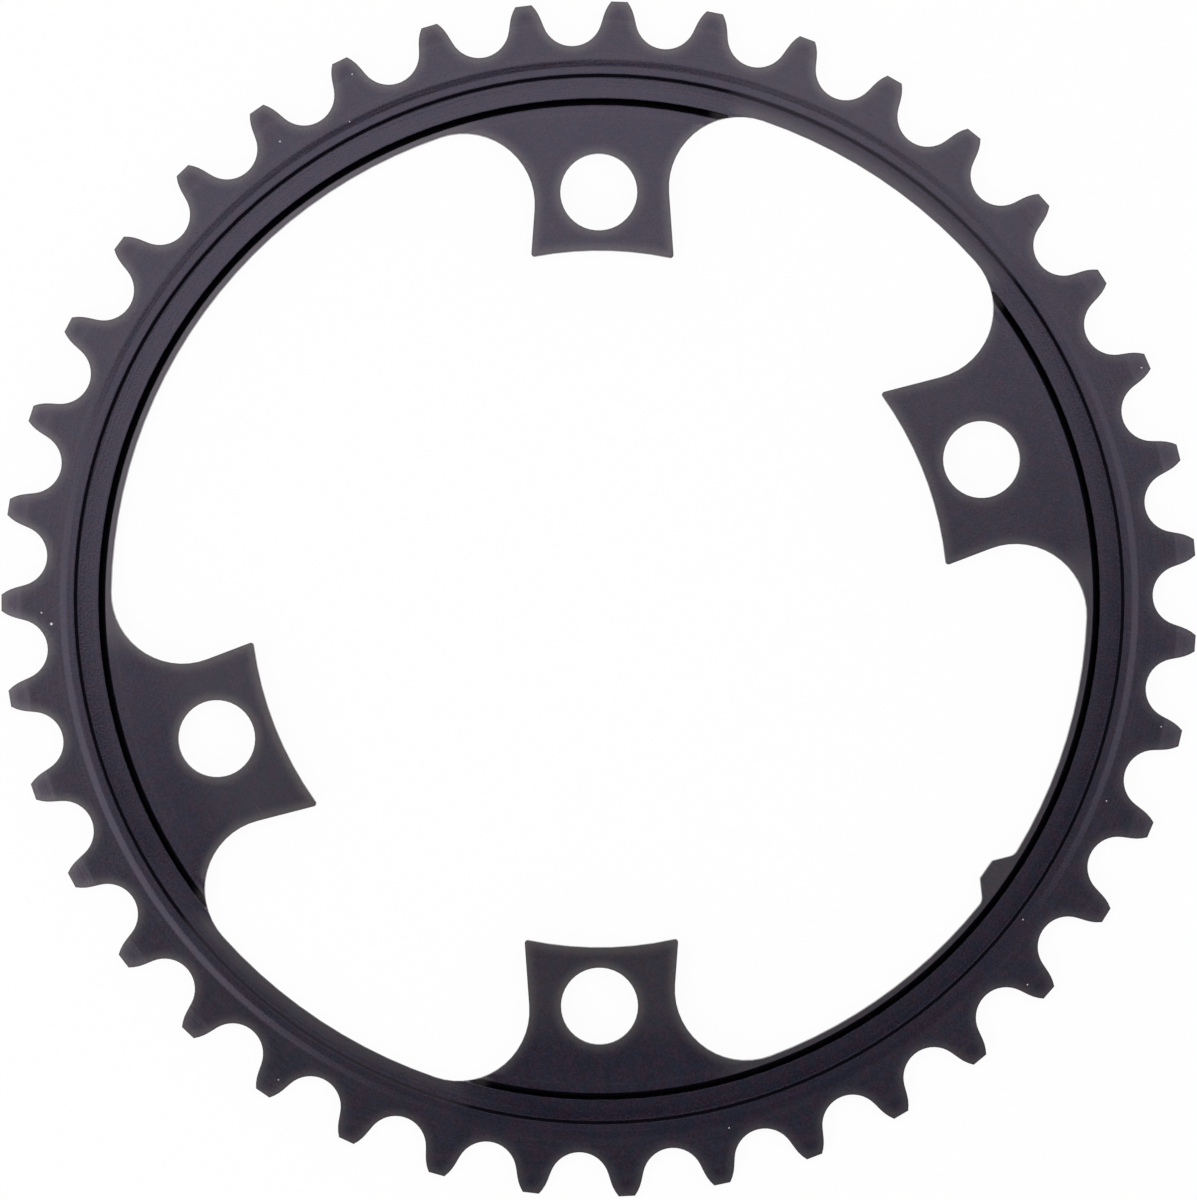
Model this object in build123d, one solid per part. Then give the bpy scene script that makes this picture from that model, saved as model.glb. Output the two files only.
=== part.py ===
"""An inner chainring for a four-arm crank, turned and milled from one aluminium plate.

Millimetres. The origin is on the ring's axis, in the plane that the ring lies on. +Z points out of the
bolting face, and +X points to the locating nub, which sits behind the crank arm.
"""
import os
from math import asin, cos, degrees, hypot, radians, sin, tan

from build123d import *

# Chain and teeth
teeth = 39
chain_pitch = 12.7
roller_diameter = 7.75
seat_clearance = 0.225
seat_half_angle = 70.5
flank_length = 1.3
tip_height = 1.88
tip_width = 2.2
first_tooth_angle = 3.0
tooth_thickness = 2.1
tip_bevel_length = 2.6
tip_bevel_depth = 0.25

# Rim, as widths from the tooth roots inwards and heights of its faces
root_land_width = 1.9
facet_width = 0.9
facet_rise = 0.18
underside_facet_drop = 0.2
land_width = 1.0
land_wall_width = 0.45
channel_floor_width = 2.85
channel_floor_thickness = 1.75
channel_floor_rise = 0.065
groove_channel_side = 0.3
groove_tab_side = 0.7
groove_depth = 0.55
ledge_width = 0.75
narrow_floor_width = 2.2

# Bolt tabs
bolt_circle_diameter = 110.0
narrow_span_angle = 70.0
bolt_hole_diameter = 10.4
bolt_seat_margin = 1.6
bolt_seat_depth = 0.7
tab_thickness = 3.2
tab_end_wall = 2.7
tab_corner_radius = 0.4
window_fillet_radius = 9.6
largest_fillet_share = 0.6  # of the tab's length

# Each tab's wall between its bolt hole and its flank, and how far the flank leans in, in degrees,
# on its anticlockwise side and on its clockwise side
tab_flanks = (
    ((7.0, 5.6), (6.5, 0.8)),
    ((3.3, 4.2), (4.3, 4.0)),
    ((7.0, 5.6), (5.3, 0.8)),
    ((4.8, 4.2), (4.3, 4.0)),
)

# Locating nub in the first wide window
nub_height = 2.15
nub_tip_width = 2.9
nub_side_angle = 49.0
nub_tip_corner_radius = 0.4
nub_root_radius = 1.6

# Radii that follow from the sizes above
pitch_angle = 360 / teeth
pitch_radius = chain_pitch / (2 * sin(radians(pitch_angle / 2)))
seat_radius = roller_diameter / 2 + seat_clearance
root_radius = pitch_radius - seat_radius
tip_radius = pitch_radius + tip_height
facet_outer_radius = root_radius - root_land_width
facet_inner_radius = facet_outer_radius - facet_width
land_inner_radius = facet_inner_radius - land_width
channel_outer_radius = land_inner_radius - land_wall_width
channel_inner_radius = channel_outer_radius - channel_floor_width
groove_radius = channel_inner_radius - groove_channel_side
tab_outer_radius = groove_radius - groove_tab_side
wide_window_radius = tab_outer_radius - ledge_width
narrow_window_radius = channel_outer_radius - narrow_floor_width
bolt_circle_radius = bolt_circle_diameter / 2
bolt_hole_radius = bolt_hole_diameter / 2
tab_inner_radius = bolt_circle_radius - bolt_hole_radius - tab_end_wall
tab_angles = (
    90 - narrow_span_angle / 2,
    90 + narrow_span_angle / 2,
    270 - narrow_span_angle / 2,
    270 + narrow_span_angle / 2,
)

# Heights of the faces above the plane that the ring lies on
tooth_bottom = underside_facet_drop
tooth_top = tooth_bottom + tooth_thickness
land_top = tooth_top + facet_rise
groove_bottom = channel_floor_thickness - groove_depth


def polar(radius, angle):
    """The point at a radius and an angle in degrees."""
    return Vector(radius * cos(radians(angle)), radius * sin(radians(angle)))


def on_radius(vertex, radius):
    """Whether a vertex of the plan lies on a circle about the axis."""
    return abs(hypot(vertex.X, vertex.Y) - radius) < 0.001


def mirrored(point):
    """A point of the plan on the other side of the X axis."""
    return Vector(point.X, -point.Y)


def gap_edges():
    """One roller gap, centred on +X: the roller's seat, two flanks, two topping arcs and a tooth tip."""
    h = radians(seat_half_angle)
    along = Vector(sin(h), cos(h))
    seat_end = Vector(pitch_radius, 0) + Vector(-cos(h), sin(h)) * seat_radius
    flank_end = seat_end + along * flank_length
    half_tip_angle = degrees(asin(tip_width / 2 / tip_radius))
    tip_start = polar(tip_radius, pitch_angle / 2 - half_tip_angle)
    tip_end = polar(tip_radius, pitch_angle / 2 + half_tip_angle)
    return [
        TangentArc(mirrored(flank_end), mirrored(tip_start), tangent=mirrored(along)),
        Line(mirrored(flank_end), mirrored(seat_end)),
        ThreePointArc(mirrored(seat_end), Vector(root_radius, 0), seat_end),
        Line(seat_end, flank_end),
        TangentArc(flank_end, tip_start, tangent=along),
        ThreePointArc(tip_start, polar(tip_radius, pitch_angle / 2), tip_end),
    ]


def toothed_disc():
    """The plan of the toothed edge, filled to the axis."""
    gap = gap_edges()
    first_gap = first_tooth_angle + pitch_angle / 2
    edges = [edge.rotate(Axis.Z, first_gap + i * pitch_angle) for i in range(teeth) for edge in gap]
    return make_face(edges)


def flank_line(tab, side):
    """A point of a tab's flank and the flank's outward direction; side is +1 anticlockwise, -1 clockwise."""
    angle = tab_angles[tab]
    wall, lean = tab_flanks[tab][0 if side > 0 else 1]
    start = polar(bolt_circle_radius, angle) + polar(bolt_hole_radius + wall, angle + 90 * side)
    return start, polar(1, angle - side * lean)


def window(tab):
    """The opening between a tab and the next one, rounded where its flanks meet the rim."""
    next_tab = (tab + 1) % len(tab_angles)
    radius = wide_window_radius if tab % 2 else narrow_window_radius
    start, along = flank_line(tab, 1)
    next_start, next_along = flank_line(next_tab, -1)
    apart = next_start - start
    crossing = along.X * next_along.Y - along.Y * next_along.X
    apex = start + along * ((apart.X * next_along.Y - apart.Y * next_along.X) / crossing)
    far = 6 * radius  # well past the rim
    wedge = make_face(Polyline(apex, apex + along * far, apex + next_along * far, close=True))
    sector = Circle(radius) & wedge
    corners = sector.vertices().filter_by(lambda v: on_radius(v, radius))
    room = radius - tab_inner_radius
    return fillet(corners, min(window_fillet_radius, largest_fillet_share * room))


def nub():
    """The plan of the locating nub on the rim at +X, with its tip towards the axis."""
    tip_x = wide_window_radius - nub_height
    base_x = wide_window_radius + nub_root_radius
    half_tip = nub_tip_width / 2
    half_base = half_tip + (base_x - tip_x) * tan(radians(nub_side_angle))
    plan = make_face(
        Polyline((tip_x, half_tip), (base_x, half_base), (base_x, -half_base), (tip_x, -half_tip), close=True)
    )
    tip_corners = plan.vertices().sort_by(Axis.X)[:2]
    return fillet(tip_corners, nub_tip_corner_radius)


def opening():
    """The plan of everything that is cut out inside the rim, apart from the bolt holes."""
    cut = Circle(tab_inner_radius)
    for tab in range(len(tab_angles)):
        cut += window(tab)
    tab_corners = cut.vertices().filter_by(lambda v: on_radius(v, tab_inner_radius))
    cut = fillet(tab_corners, tab_corner_radius)
    cut -= nub()
    rim_corners = cut.vertices().filter_by(lambda v: on_radius(v, wide_window_radius) and v.X > 0)
    nub_roots = rim_corners.sort_by(lambda v: abs(v.Y))[:2]
    return fillet(nub_roots, nub_root_radius)


def bolt_circles(radius):
    """The plan of a circle at each bolt position."""
    places = [Pos(polar(bolt_circle_radius, angle)) for angle in tab_angles]
    return Sketch() + [place * Circle(radius) for place in places]


def turned_blank():
    """The plate as it is turned: its section from the tabs out to the tooth tips, revolved."""
    inside = tab_inner_radius / 2
    outside = tip_radius + tip_bevel_length / 4
    bevel_start = tip_radius - tip_bevel_length
    bevel_at_outside = tip_bevel_depth * (outside - bevel_start) / tip_bevel_length
    outline = Polyline(
        (inside, 0),
        (inside, tab_thickness),
        (tab_outer_radius, tab_thickness),
        (groove_radius, groove_bottom),
        (channel_inner_radius, channel_floor_thickness),
        (channel_outer_radius, channel_floor_thickness + channel_floor_rise),
        (land_inner_radius, land_top),
        (facet_inner_radius, land_top),
        (facet_outer_radius, tooth_top),
        (bevel_start, tooth_top),
        (outside, tooth_top - bevel_at_outside),
        (outside, tooth_bottom + bevel_at_outside),
        (bevel_start, tooth_bottom),
        (facet_outer_radius, tooth_bottom),
        (facet_inner_radius, 0),
        close=True,
    )
    return revolve(Plane.XZ * make_face(outline), Axis.Z)


def chainring():
    """The finished ring: the turned blank cut to the plan, with the bolt seats sunk from below."""
    plan = toothed_disc() - opening() - bolt_circles(bolt_hole_radius)
    ring = turned_blank() & extrude(plan, max(tab_thickness, land_top))
    return ring - extrude(bolt_circles(bolt_hole_radius + bolt_seat_margin), bolt_seat_depth)


os.makedirs("parts", exist_ok=True)
export_step(chainring(), "parts/chainring.step")
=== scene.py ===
"""The chainring's looks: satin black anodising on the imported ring, a white table, soft light, and a camera
straight above it. Lengths are in metres unless a name says millimetres."""
from functools import reduce
from math import cos, pi, radians, sin

import bpy
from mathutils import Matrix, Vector


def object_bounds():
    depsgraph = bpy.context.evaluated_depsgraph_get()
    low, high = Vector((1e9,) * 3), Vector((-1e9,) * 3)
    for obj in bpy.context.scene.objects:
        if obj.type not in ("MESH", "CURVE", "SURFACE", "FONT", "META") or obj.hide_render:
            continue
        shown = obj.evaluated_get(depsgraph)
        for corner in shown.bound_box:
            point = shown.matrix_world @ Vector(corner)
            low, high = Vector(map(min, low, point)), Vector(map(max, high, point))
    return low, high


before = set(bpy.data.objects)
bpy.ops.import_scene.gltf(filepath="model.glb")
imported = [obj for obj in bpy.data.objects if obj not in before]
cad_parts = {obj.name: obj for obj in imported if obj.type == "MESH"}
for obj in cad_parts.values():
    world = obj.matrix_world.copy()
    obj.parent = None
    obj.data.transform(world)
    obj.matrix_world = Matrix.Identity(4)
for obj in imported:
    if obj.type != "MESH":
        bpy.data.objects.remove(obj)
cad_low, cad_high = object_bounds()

millimetre = 0.001
white = (1.0, 1.0, 1.0, 1.0)

# The photograph's frame: its size, where the ring's axis is in it, and the scale half-way up the ring
photo_width_px = 1197
photo_height_px = 1200
axis_x_px = 598.63
axis_y_px = 598.55
mm_per_px = 0.135207
photo_right_azimuth = 34.947

# Camera
camera_distance = 1.5
camera_reach = 100.0
sensor_width_mm = 36.0

# Table, just under the ring
table_size = 12.0
table_drop = 0.02 * millimetre
table_grey = (0.85, 0.85, 0.85, 1.0)
table_glow = 0.95

# White walls round the table, with the sines of the elevations between which they fade
wall_fade = (0.15, 0.75)

# Lights over the table: each one's place right and up in the photograph's plane, its width, depth and turn
# in degrees, and its brightness
softbox_height = 0.5
softboxes = (
    ("softbox_top", -0.04, 0.14, 0.39, 0.26, 16.0, 2.90),
    ("softbox_left", -0.34, -0.33, 0.27, 0.90, -10.0, 3.30),
    ("softbox_right", 0.28, 0.06, 0.26, 0.44, 33.0, 2.50),
    ("softbox_bottom", 0.17, -0.27, 0.90, 0.50, 45.0, 0.38),
)

# Radii of the ring's edges, in millimetres
groove_inner_mm = 66.71
groove_outer_mm = 67.71
narrow_window_mm = 68.36
channel_outer_mm = 70.56
land_inner_mm = 71.01
facet_inner_mm = 72.01
facet_outer_mm = 72.91
zone_blur_mm = 0.05

# Heights between which the upper face's marks begin, in millimetres
upper_mm = (0.5, 1.0)

# Middles of the windows, in degrees from +X, and where zones end beside them: by the sine of the angle from
# a wide window's middle, or by the cosine of the angle from a narrow window's middle
wide_window_azimuth = 0.0
wide_window_ends = (0.60, 0.68)
channel_ends = (0.88, 0.95)
narrow_window_azimuth = 91.4
narrow_window_ends = (0.943, 0.962)
groove_ends = (0.930, 0.942)

# Colours of the finish, with painted shade in the groove and on the land's wall, lighter on that wall beside
# the narrow windows as a painted reflection, and a pale grey for wear and painted glow
purple_black = (0.0096, 0.0045, 0.0118, 1.0)
blue_black = (0.0030, 0.0052, 0.0130, 1.0)
# pale grey for edge wear and painted glow
glow_and_wear_grey = (0.132, 0.124, 0.110, 1.0)
# painted shade in the groove
groove_shade_black = (0.0012, 0.0010, 0.0018, 1.0)
# painted shade on the land's wall; lighter beside the narrow windows as a painted reflection
wall_shade_black = (0.0035, 0.0030, 0.0055, 1.0)
narrow_wall_shade_black = (0.017, 0.014, 0.020, 1.0)
dust_grey = (0.55, 0.54, 0.56, 1.0)
sheen_tint = (0.865, 0.77, 1.0, 1.0)
refractive_index = 1.45

# Grain, clouds, patches and streaks: how fine they are for each millimetre, and what they change
grain_scale = 3.3
cloud_scale = 0.22
patch_scale = 0.6
streak_scale = 3.0
streak_scale_round = 6.0
noise_range = (0.3, 0.7)
patch_range = (0.38, 0.62)
grain_darkening = (0.3, 1.7)
tab_streaks = 0.3
full_streaks_mm = (groove_inner_mm - 0.3, groove_inner_mm + 0.3)

# Gloss
satin_roughness = (0.252, 0.272)
channel_polish = (-0.015, -0.075)
streak_roughness = 0.10
dust_roughness = 0.4

# Relief, in millimetres; the dish grows with the square of the distance from the channel's middle
eased_edge_mm = 0.30
streak_height_mm = 0.014
grain_height_mm = 0.010
channel_dish = 0.010

# Paling towards pale grey, partly wear and partly painted glow: where the edges are palest and the tabs
# palest, in degrees from the photograph's right, and how much of the colour goes to pale grey from the least
# pale side to the palest one
palest_edges_angle = 130.0
paling_sides = (-0.75, 0.65)
rim_paling = (0.40, 1.0)
tab_edge_paling = (0.56, 0.83)
# the ledge's paling here, and the channel's and the groove ends' below, are painted glow near the windows
ledge_glow = (0.20, 0.39)
pale_edge_width_mm = 2.0
pale_edge_falloff = 0.375
tab_edge_paling_end_mm = (65.3, 66.0)
rim_paling_start_mm = (facet_outer_mm, facet_outer_mm + 1.0)
ledge_glow_start_mm = 63.36
nub_start_mm = (60.5, 62.5)
nub_paling = 0.5
channel_glow = (0.42, 0.05)
groove_end_glow = 0.35
groove_end_glow_start_mm = 66.2
groove_end_blur_mm = 0.2
# share of the groove's painted shade left at its ends beside the narrow windows
groove_end_shade = 0.2
# painted glow over the teeth, from the facet outwards
tooth_glow = 0.03
tooth_glow_start_mm = (facet_inner_mm, facet_outer_mm + 0.5)
palest_tabs_angle = 235.0
tab_sides = (-0.6, 0.6)
tab_paling = (0.04, 0.10)
tab_paling_end_mm = (55.0, 63.0)

# Dust on the upper face: radius in millimetres, degrees from the photograph's right, and width in millimetres
dust = (
    (74.1, -177.4, 0.42),
    (75.4, -178.6, 0.26),
    (75.4, 124.9, 0.26),
    (79.7, 23.1, 0.24),
    (78.4, 115.2, 0.22),
    (77.9, -42.0, 0.22),
    (73.6, -76.2, 0.22),
    (73.8, -21.7, 0.20),
    (72.8, 117.6, 0.20),
    (71.8, -37.1, 0.20),
    (78.1, -123.7, 0.20),
    (77.9, -12.8, 0.20),
)
speck_edge = (0.3, 0.55)  # of a speck's width


def direction(azimuth):
    """The level direction at an azimuth in degrees from +X."""
    return Vector((cos(radians(azimuth)), sin(radians(azimuth)), 0.0))


def photo_place(right, up, height):
    """A point given along the photograph's right and up directions, and its height above the table."""
    place = right * direction(photo_right_azimuth) + up * direction(photo_right_azimuth + 90.0)
    place.z = height
    return place


class Graph:
    """A node tree under construction. An input may be a socket, a number or a tuple."""

    def __init__(self, tree):
        self.tree = tree
        tree.nodes.clear()

    def add(self, kind, inputs=None, **settings):
        node = self.tree.nodes.new(kind)
        for name, value in settings.items():
            setattr(node, name, value)
        for key, value in (inputs or {}).items():
            if isinstance(value, bpy.types.NodeSocket):
                self.tree.links.new(value, node.inputs[key])
            else:
                node.inputs[key].default_value = value
        return node

    def math(self, operation, first, second=0.0):
        return self.add("ShaderNodeMath", {0: first, 1: second}, operation=operation).outputs[0]

    def product(self, *factors):
        return reduce(lambda first, second: self.math("MULTIPLY", first, second), factors)

    def total(self, *terms):
        return reduce(lambda first, second: self.math("ADD", first, second), terms)

    def largest(self, *values):
        return reduce(lambda first, second: self.math("MAXIMUM", first, second), values)

    def vector(self, operation, first, second=(0.0, 0.0, 0.0)):
        return self.add("ShaderNodeVectorMath", {0: first, 1: second}, operation=operation).outputs["Vector"]

    def measure(self, operation, first, second=(0.0, 0.0, 0.0)):
        return self.add("ShaderNodeVectorMath", {0: first, 1: second}, operation=operation).outputs["Value"]

    def scaled(self, vector, factor):
        inputs = {0: vector, "Scale": factor}
        return self.add("ShaderNodeVectorMath", inputs, operation="SCALE").outputs["Vector"]

    def ramp(self, value, low, high, to_low=0.0, to_high=1.0):
        """A value mapped smoothly from one range to another, held at its ends."""
        inputs = {"Value": value, "From Min": low, "From Max": high, "To Min": to_low, "To Max": to_high}
        return self.add("ShaderNodeMapRange", inputs, interpolation_type="SMOOTHSTEP").outputs["Result"]

    def fall(self, value, low, high, to_high=0.0):
        """1 up to a value, then smoothly down to another level."""
        return self.ramp(value, low, high, 1.0, to_high)

    def band(self, value, low, high, soft=zone_blur_mm):
        """1 between two values and 0 outside them, with soft ends."""
        begins = self.ramp(value, low - soft, low + soft)
        return self.product(begins, self.fall(value, high - soft, high + soft))

    def noise(self, place, scale, detail, roughness):
        inputs = {"Vector": place, "Scale": scale, "Detail": detail, "Roughness": roughness}
        return self.add("ShaderNodeTexNoise", inputs).outputs["Fac"]

    def mix_colour(self, share, first, second):
        return self.add("ShaderNodeMix", {0: share, 6: first, 7: second}, data_type="RGBA").outputs[2]

    def mix_vector(self, share, first, second):
        return self.add("ShaderNodeMix", {0: share, 4: first, 5: second}, data_type="VECTOR").outputs[1]

    def true_normal(self):
        return self.add("ShaderNodeNewGeometry").outputs["Normal"]

    def rounded_normal(self, radius_mm, samples):
        """The normal as if every edge were rounded to a radius."""
        inputs = {"Radius": radius_mm * millimetre}
        return self.add("ShaderNodeBevel", inputs, samples=samples).outputs["Normal"]


class Spot:
    """A shaded point of the ring: its place in millimetres, and its share in each zone, from 0 to 1."""

    def __init__(self, g):
        self.g = g
        self.place = g.scaled(g.add("ShaderNodeTexCoord").outputs["Object"], 1 / millimetre)
        self.flat = g.vector("MULTIPLY", self.place, (1.0, 1.0, 0.0))
        self.radius = g.measure("LENGTH", self.flat)
        self.upper = g.ramp(g.measure("DOT_PRODUCT", self.place, (0.0, 0.0, 1.0)), *upper_mm)
        self.off_wide = g.math("ABSOLUTE", self.cosine_to(wide_window_azimuth + 90.0))
        self.by_narrow = g.math("ABSOLUTE", self.cosine_to(narrow_window_azimuth))
        self.narrow = g.ramp(self.by_narrow, *narrow_window_ends)

        # The turned zones of the upper face
        self.groove = self.ring(groove_inner_mm, groove_outer_mm)
        # the groove's painted shade weakens towards the narrow windows' ends
        self.groove = g.product(self.groove, g.fall(self.by_narrow, *groove_ends, groove_end_shade))
        self.channel = self.ring(groove_outer_mm, channel_outer_mm)
        self.channel = g.product(self.channel, g.fall(self.off_wide, *channel_ends))
        self.wall = self.ring(channel_outer_mm, land_inner_mm)

    def ring(self, inner_mm, outer_mm):
        """1 between two radii on the upper face, otherwise 0."""
        return self.g.product(self.upper, self.g.band(self.radius, inner_mm, outer_mm))

    def cosine_to(self, azimuth):
        """The cosine between the point's direction from the axis and an azimuth in degrees."""
        along = self.g.measure("DOT_PRODUCT", self.flat, direction(azimuth))
        return self.g.math("DIVIDE", along, self.radius)

    def photo_cosine_to(self, angle):
        """The same for an angle in degrees from the photograph's right."""
        return self.cosine_to(angle + photo_right_azimuth)


def dust_specks(g, spot):
    """1 on each speck of dust, otherwise 0."""
    specks = []
    for radius, angle, width in dust:
        away = g.measure("DISTANCE", spot.flat, radius * direction(angle + photo_right_azimuth))
        specks.append(g.fall(away, *(share * width for share in speck_edge)))
    return g.product(g.largest(*specks), spot.upper)


def edge_glow_and_wear(g, spot, side, on_rim):
    """Paler towards the outline's edges, partly wear and partly painted glow, fading over the next two
    millimetres.
    """
    facing = g.measure("DOT_PRODUCT", g.rounded_normal(pale_edge_width_mm, samples=4), g.true_normal())
    leaning = g.math("SUBTRACT", 1.0, g.math("MINIMUM", 1.0, g.product(facing, facing)))
    by_nub = g.measure("DOT_PRODUCT", spot.flat, direction(wide_window_azimuth))
    on_tabs = g.product(
        g.fall(spot.radius, *tab_edge_paling_end_mm),
        g.ramp(side, *paling_sides, *tab_edge_paling),
        g.fall(by_nub, *nub_start_mm, nub_paling),
    )
    on_teeth = g.product(g.ramp(spot.radius, *rim_paling_start_mm), on_rim)
    return g.product(g.math("POWER", leaning, pale_edge_falloff), g.total(on_tabs, on_teeth))


def window_glow(g, spot, side, on_rim):
    """Painted glow along the windows, where the rim's grooves lie close to the edge, by the radius."""
    on_ledge = g.product(
        g.fall(spot.off_wide, *wide_window_ends),
        g.band(spot.radius, ledge_glow_start_mm, groove_inner_mm),
        g.ramp(side, *paling_sides, *ledge_glow),
    )
    on_channel = g.product(
        g.ramp(spot.radius, narrow_window_mm, channel_outer_mm, *channel_glow),
        on_rim,
        g.ramp(spot.radius, groove_outer_mm, narrow_window_mm),
        spot.narrow,
    )
    at_groove_ends = g.product(
        g.ramp(spot.by_narrow, *groove_ends, 0.0, groove_end_glow),
        g.band(spot.radius, groove_end_glow_start_mm, groove_outer_mm, groove_end_blur_mm),
    )
    return g.product(g.largest(on_ledge, on_channel, at_groove_ends), spot.upper)


def paling_share(g, spot):
    """How far the colour goes to pale grey, partly wear and partly painted glow: most at the edges, and a
    little all over the teeth and the tabs.
    """
    side = spot.photo_cosine_to(palest_edges_angle)
    on_rim = g.ramp(side, *paling_sides, *rim_paling)
    edges = g.largest(edge_glow_and_wear(g, spot, side, on_rim), window_glow(g, spot, side, on_rim))
    # painted glow over the teeth
    teeth = g.product(g.ramp(spot.radius, *tooth_glow_start_mm, 0.0, tooth_glow), on_rim)
    tabs = g.product(
        g.ramp(spot.photo_cosine_to(palest_tabs_angle), *tab_sides, *tab_paling),
        g.fall(spot.radius, *tab_paling_end_mm),
    )
    return g.math("MINIMUM", 1.0, g.total(edges, teeth, tabs))


def turning_streaks(g, spot):
    """Streaks about 0, fine along the radius and long round the ring, and fainter on the tabs."""
    across = g.add("ShaderNodeCombineXYZ", {"Z": g.product(spot.radius, streak_scale)}).outputs["Vector"]
    lathe = g.vector("ADD", g.scaled(g.vector("NORMALIZE", spot.flat), streak_scale_round), across)
    streaks = g.math("SUBTRACT", g.noise(lathe, 1.0, detail=3.0, roughness=0.6), 0.5)
    turned = g.ramp(spot.radius, *full_streaks_mm, tab_streaks, 1.0)
    return g.product(streaks, turned)


def finish_colour(g, spot, grain, specks):
    """A purple black with bluer patches, paler towards edges with wear and painted glow, and with painted
    shade in the grooves and on the land's wall, lighter on that wall beside the narrow windows as a painted
    reflection.
    """
    patches = g.ramp(g.noise(spot.place, patch_scale, detail=2.0, roughness=0.5), *patch_range)
    colour = g.mix_colour(patches, purple_black, blue_black)
    colour = g.scaled(colour, g.ramp(grain, *noise_range, *grain_darkening))
    # paler towards pale grey: edge wear and painted glow
    colour = g.mix_colour(paling_share(g, spot), colour, glow_and_wear_grey)
    # painted shade in the groove
    colour = g.mix_colour(spot.groove, colour, groove_shade_black)
    # painted shade on the land's wall, lighter beside the narrow windows as a painted reflection
    colour = g.mix_colour(spot.wall, colour, g.mix_colour(spot.narrow, wall_shade_black, narrow_wall_shade_black))
    return g.mix_colour(specks, colour, dust_grey)


def finish_roughness(g, spot, streaks, specks):
    """Satin with faint clouds, and the channel's floor smoother towards its outer edge."""
    clouds = g.noise(spot.place, cloud_scale, detail=3.0, roughness=0.55)
    polish = g.ramp(spot.radius, groove_outer_mm, channel_outer_mm, *channel_polish)
    return g.total(
        g.ramp(clouds, *noise_range, *satin_roughness),
        g.product(spot.channel, polish),
        g.product(streaks, streak_roughness),
        g.product(specks, dust_roughness),
    )


def finish_normal(g, spot, grain, streaks):
    """Eased edges outside the grooves, with streaks, grain and a slightly dished channel floor."""
    on_floor = g.math("MINIMUM", g.largest(spot.radius, groove_outer_mm), channel_outer_mm)
    from_middle = g.math("SUBTRACT", on_floor, (groove_outer_mm + channel_outer_mm) / 2)
    height = g.total(
        g.product(streaks, streak_height_mm),
        g.product(grain, grain_height_mm),
        g.product(from_middle, from_middle, channel_dish, spot.upper),
    )
    crisp = g.largest(spot.groove, spot.wall)
    eased = g.mix_vector(crisp, g.rounded_normal(eased_edge_mm, samples=2), g.true_normal())
    inputs = {"Height": height, "Normal": eased, "Strength": 1.0, "Distance": millimetre}
    return g.add("ShaderNodeBump", inputs).outputs["Normal"]


def anodised_black():
    """Satin black anodising over a turned and blasted surface."""
    material = bpy.data.materials.new("black_anodised_aluminium")
    material.use_nodes = True
    g = Graph(material.node_tree)
    spot = Spot(g)
    grain = g.noise(spot.place, grain_scale, detail=2.0, roughness=0.6)
    streaks = turning_streaks(g, spot)
    specks = dust_specks(g, spot)
    shader = g.add(
        "ShaderNodeBsdfPrincipled",
        {
            "Base Color": finish_colour(g, spot, grain, specks),
            "Roughness": finish_roughness(g, spot, streaks, specks),
            "IOR": refractive_index,
            "Specular Tint": sheen_tint,
            "Normal": finish_normal(g, spot, grain, streaks),
        },
    )
    g.add("ShaderNodeOutputMaterial", {"Surface": shader.outputs["BSDF"]})
    return material


def seen_directly(g):
    """1 for rays from the camera and for mirrored and refracted ones, otherwise 0."""
    path = g.add("ShaderNodeLightPath")
    kinds = ("Is Camera Ray", "Is Glossy Ray", "Is Transmission Ray")
    return g.largest(*(path.outputs[kind] for kind in kinds))


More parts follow.
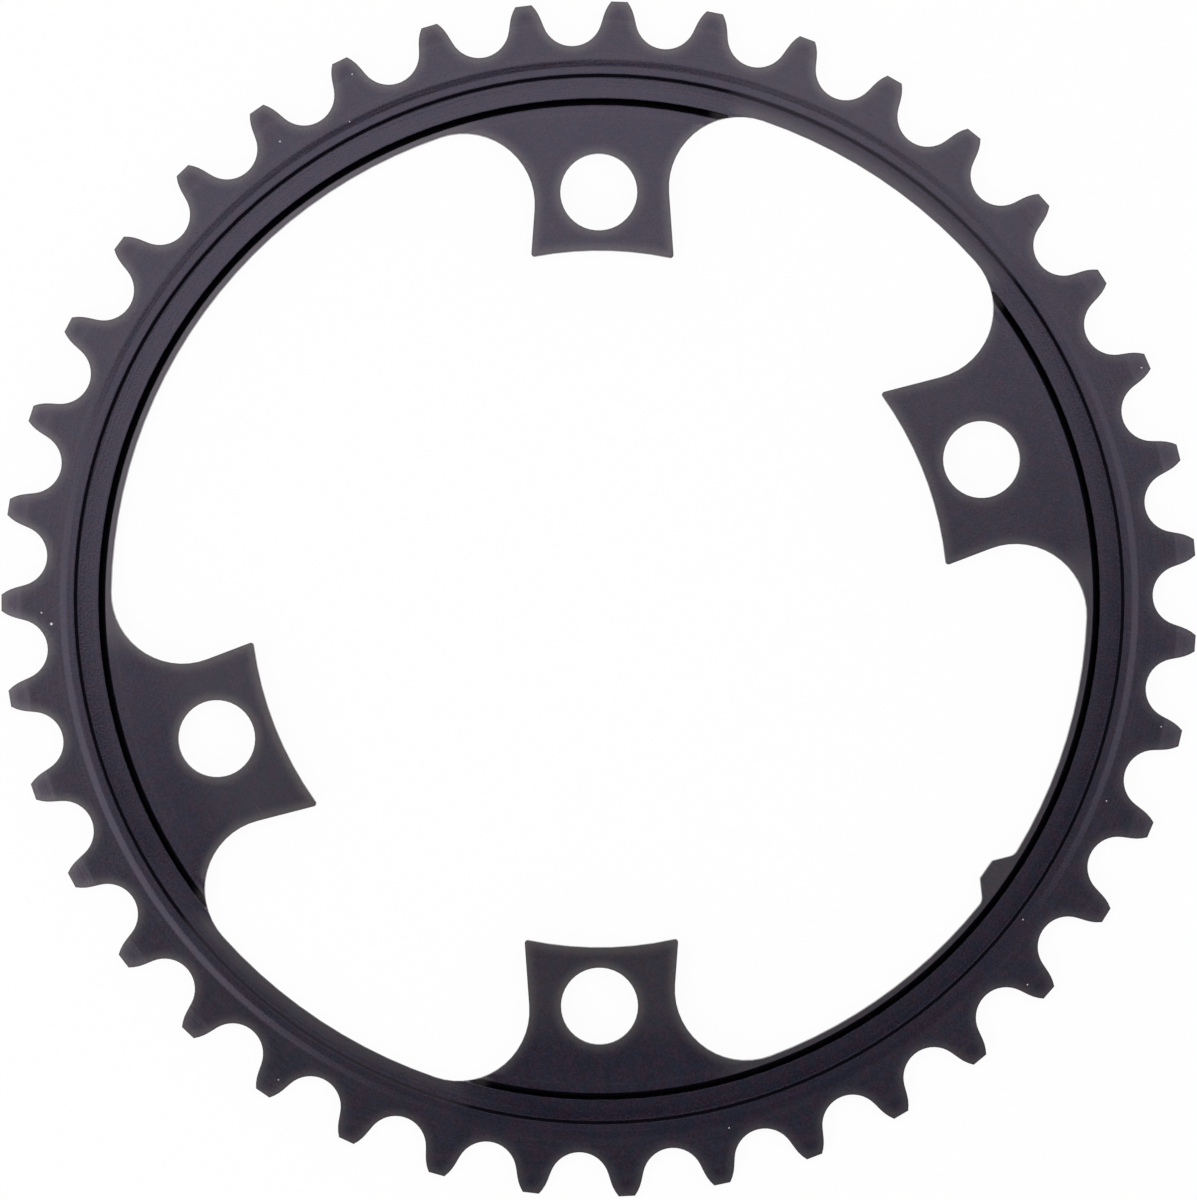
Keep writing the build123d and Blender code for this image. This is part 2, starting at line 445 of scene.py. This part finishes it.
def white_table():
    """A white table that stays white in the picture, takes a soft shadow, and is clear from below."""
    material = bpy.data.materials.new("white_table")
    material.use_nodes = True
    g = Graph(material.node_tree)
    paper = g.add("ShaderNodeBsdfDiffuse", {"Color": table_grey}).outputs["BSDF"]
    glow = g.add("ShaderNodeEmission", {"Color": white, "Strength": 1.0}).outputs["Emission"]
    share = g.product(seen_directly(g), table_glow)
    top = g.add("ShaderNodeMixShader", {0: share, 1: paper, 2: glow}).outputs["Shader"]
    clear = g.add("ShaderNodeBsdfTransparent").outputs["BSDF"]
    below = g.add("ShaderNodeNewGeometry").outputs["Backfacing"]
    sided = g.add("ShaderNodeMixShader", {0: below, 1: top, 2: clear}).outputs["Shader"]
    g.add("ShaderNodeOutputMaterial", {"Surface": sided})
    bpy.ops.mesh.primitive_plane_add(size=table_size, location=(0.0, 0.0, cad_low.z - table_drop))
    table = bpy.context.object
    table.name = "table"
    table.data.materials.append(material)


def soft_surroundings():
    """A studio with white walls that fade into a dark ceiling."""
    world = bpy.data.worlds.new("studio")
    bpy.context.scene.world = world
    world.use_nodes = True
    g = Graph(world.node_tree)
    towards = g.add("ShaderNodeTexCoord").outputs["Generated"]
    walls = g.fall(g.measure("DOT_PRODUCT", towards, (0.0, 0.0, 1.0)), *wall_fade)
    sky = g.add("ShaderNodeBackground", {"Color": white, "Strength": walls})
    g.add("ShaderNodeOutputWorld", {"Surface": sky.outputs["Background"]})


def softbox(name, right, up, width, depth, turn, brightness):
    """A rectangular light over the table, facing down. Brightness is its radiance."""
    light = bpy.data.lights.new(name, "AREA")
    light.shape = "RECTANGLE"
    light.size = width
    light.size_y = depth
    light.energy = brightness * pi * width * depth
    lamp = bpy.data.objects.new(name, light)
    lamp.location = photo_place(right, up, softbox_height)
    lamp.rotation_euler = (0.0, 0.0, radians(photo_right_azimuth + turn))
    lamp.visible_camera = False
    bpy.context.scene.collection.objects.link(lamp)


def overhead_camera():
    """The photograph's camera: far above the ring, looking straight down, turned to the photograph's up."""
    right = ((photo_width_px - 1) / 2 - axis_x_px) * mm_per_px * millimetre
    up = (axis_y_px - (photo_height_px - 1) / 2) * mm_per_px * millimetre
    scale_height = (cad_low.z + cad_high.z) / 2
    camera_data = bpy.data.cameras.new("photo_camera")
    camera_data.sensor_width = sensor_width_mm
    camera_data.lens = sensor_width_mm * camera_distance / (photo_height_px * mm_per_px * millimetre)
    camera_data.clip_end = camera_reach
    camera = bpy.data.objects.new("photo_camera", camera_data)
    camera.location = photo_place(right, up, scale_height + camera_distance)
    camera.rotation_euler = (0.0, 0.0, radians(photo_right_azimuth))
    bpy.context.scene.collection.objects.link(camera)
    bpy.context.scene.camera = camera


bpy.context.scene.view_settings.view_transform = "Standard"
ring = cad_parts["chainring"]
ring.data.materials.clear()
ring.data.materials.append(anodised_black())
white_table()
soft_surroundings()
for box in softboxes:
    softbox(*box)
overhead_camera()
